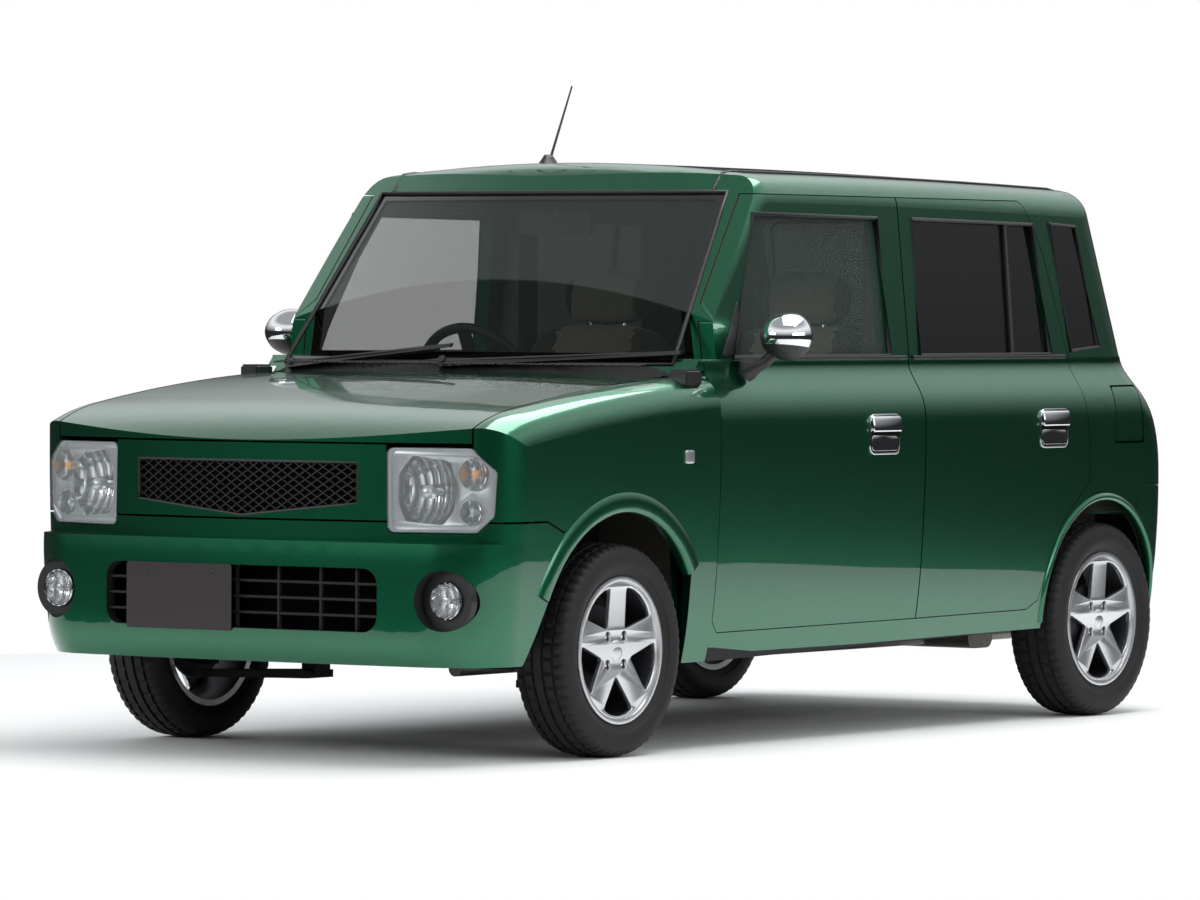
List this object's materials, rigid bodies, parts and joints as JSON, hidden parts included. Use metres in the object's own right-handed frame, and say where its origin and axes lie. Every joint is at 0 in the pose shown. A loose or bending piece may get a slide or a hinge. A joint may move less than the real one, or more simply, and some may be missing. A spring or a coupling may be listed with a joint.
{
  "type": "kei car",
  "caption": "Small five-door hatchback with opening side doors, bonnet, tailgate and fuel lid, steered front wheels and a furnished cabin.",
  "frame": {"origin": "on the ground under the middle of the car", "axes": "nose to -Y, tail to +Y, the car's left side to +X, up to +Z"},
  "size_m": [1.74, 3.395, 1.7159],
  "materials": {
    "green_paint": "deep metallic green, glossy",
    "clear_glass": "clear",
    "dark_glass": "dark privacy tint",
    "lamp_glass": "clear lens over a bright bowl",
    "red_lens": "red moulded lens",
    "black_trim": "grained black",
    "dark_plate": "blank dark plate",
    "silver_lining": "bright lining",
    "bright_chrome": "polished",
    "chassis_steel": "black coated steel",
    "engine_alloy": "cast",
    "exhaust_steel": "dull",
    "dash_plastic": "grained dark grey",
    "seat_cloth": "beige woven cloth",
    "tyre_rubber": "black rubber",
    "alloy": "silver painted alloy"
  },
  "bodies": {
    "body": {"aerial": "black_trim", "body_shell": "green_paint", "cowl_panel": "black_trim", "dashboard": "dash_plastic", "engine_block": "engine_alloy", "exhaust": "exhaust_steel", "fog_bezels": "black_trim", "fog_lamps": "lamp_glass", "front_bumper": "green_paint", "front_plate": "dark_plate", "front_seats": "seat_cloth", "front_subframe": "chassis_steel", "front_wing_left": "green_paint", "front_wing_right": "green_paint", "fuel_tank": "black_trim", "grille_mesh": "black_trim", "grille_panel": "green_paint", "headlamp_covers": "clear_glass", "headlamp_housings": "silver_lining", "quarter_glasses": "dark_glass", "radiator": "engine_alloy", "rear_axle": "chassis_steel", "rear_bumper": "green_paint", "rear_seat": "seat_cloth", "roof_panel": "green_paint", "room_mirror": "black_trim", "tail_lamps": "red_lens", "windscreen": "clear_glass", "wipers": "black_trim"},
    "bonnet": {"bonnet": "green_paint"},
    "tailgate": {"tailgate": "green_paint", "tailgate_glass": "dark_glass", "rear_plate": "dark_plate"},
    "fuel_lid": {"fuel_lid": "green_paint"},
    "steering_wheel": {"steering_wheel": "dash_plastic"},
    "door_front_left": {"door_front_left": "green_paint", "door_glass_front_left": "clear_glass", "door_handle_front_left": "bright_chrome", "door_mirror_left": "bright_chrome"},
    "door_rear_left": {"door_rear_left": "green_paint", "door_glass_rear_left": "dark_glass", "door_handle_rear_left": "bright_chrome"},
    "knuckle_left": {"knuckle_left": "chassis_steel"},
    "wheel_front_left": {"tyre_front_left": "tyre_rubber", "rim_front_left": "alloy"},
    "wheel_rear_left": {"tyre_rear_left": "tyre_rubber", "rim_rear_left": "alloy"},
    "door_front_right": {"door_front_right": "green_paint", "door_glass_front_right": "clear_glass", "door_handle_front_right": "bright_chrome", "door_mirror_right": "bright_chrome"},
    "door_rear_right": {"door_rear_right": "green_paint", "door_glass_rear_right": "dark_glass", "door_handle_rear_right": "bright_chrome"},
    "knuckle_right": {"knuckle_right": "chassis_steel"},
    "wheel_front_right": {"tyre_front_right": "tyre_rubber", "rim_front_right": "alloy"},
    "wheel_rear_right": {"tyre_rear_right": "tyre_rubber", "rim_rear_right": "alloy"}
  },
  "joints": [
    {"name": "door_front_left_hinge", "type": "hinge", "parent": "body", "child": "door_front_left", "pos_m": [0.737, -0.634, 0.6], "axis": [0, 0, -1], "range_deg": [0, 65]},
    {"name": "door_rear_left_hinge", "type": "hinge", "parent": "body", "child": "door_rear_left", "pos_m": [0.737, 0.348, 0.6], "axis": [0, 0, -1], "range_deg": [0, 65]},
    {"name": "steer_left", "type": "hinge", "parent": "body", "child": "knuckle_left", "pos_m": [0.612, -1.05, 0.172], "axis": [-0.1283, 0, 0.9917], "range_deg": [-32, 32]},
    {"name": "spin_front_left", "type": "hinge", "parent": "knuckle_left", "child": "wheel_front_left", "pos_m": [0.645, -1.05, 0.268], "axis": [1, 0, 0], "continuous": true},
    {"name": "spin_rear_left", "type": "hinge", "parent": "body", "child": "wheel_rear_left", "pos_m": [0.645, 1.31, 0.268], "axis": [1, 0, 0], "continuous": true},
    {"name": "door_front_right_hinge", "type": "hinge", "parent": "body", "child": "door_front_right", "pos_m": [-0.737, -0.634, 0.6], "axis": [0, 0, 1], "range_deg": [0, 65]},
    {"name": "door_rear_right_hinge", "type": "hinge", "parent": "body", "child": "door_rear_right", "pos_m": [-0.737, 0.348, 0.6], "axis": [0, 0, 1], "range_deg": [0, 65]},
    {"name": "steer_right", "type": "hinge", "parent": "body", "child": "knuckle_right", "pos_m": [-0.612, -1.05, 0.172], "axis": [0.1283, 0, 0.9917], "range_deg": [-32, 32]},
    {"name": "spin_front_right", "type": "hinge", "parent": "knuckle_right", "child": "wheel_front_right", "pos_m": [-0.645, -1.05, 0.268], "axis": [1, 0, 0], "continuous": true},
    {"name": "spin_rear_right", "type": "hinge", "parent": "body", "child": "wheel_rear_right", "pos_m": [-0.645, 1.31, 0.268], "axis": [1, 0, 0], "continuous": true},
    {"name": "bonnet_hinge", "type": "hinge", "parent": "body", "child": "bonnet", "pos_m": [0, -0.77, 0.962], "axis": [-1, 0, 0], "range_deg": [0, 45]},
    {"name": "tailgate_hinge", "type": "hinge", "parent": "body", "child": "tailgate", "pos_m": [0, 1.385, 1.476], "axis": [1, 0, 0], "range_deg": [0, 82]},
    {"name": "fuel_lid_hinge", "type": "hinge", "parent": "body", "child": "fuel_lid", "pos_m": [0.738, 1.34, 0.835], "axis": [0, 0, -1], "range_deg": [0, 85]},
    {"name": "steering_column", "type": "hinge", "parent": "body", "child": "steering_wheel", "pos_m": [-0.33, -0.2, 0.905], "axis": [0, 0.9063, 0.4226], "range_deg": [-480, 480]}
  ],
  "couplings": [
    {"joint": "steer_right", "follows": "steer_left", "ratio": 1},
    {"joint": "steering_column", "follows": "steer_left", "ratio": 15}
  ]
}
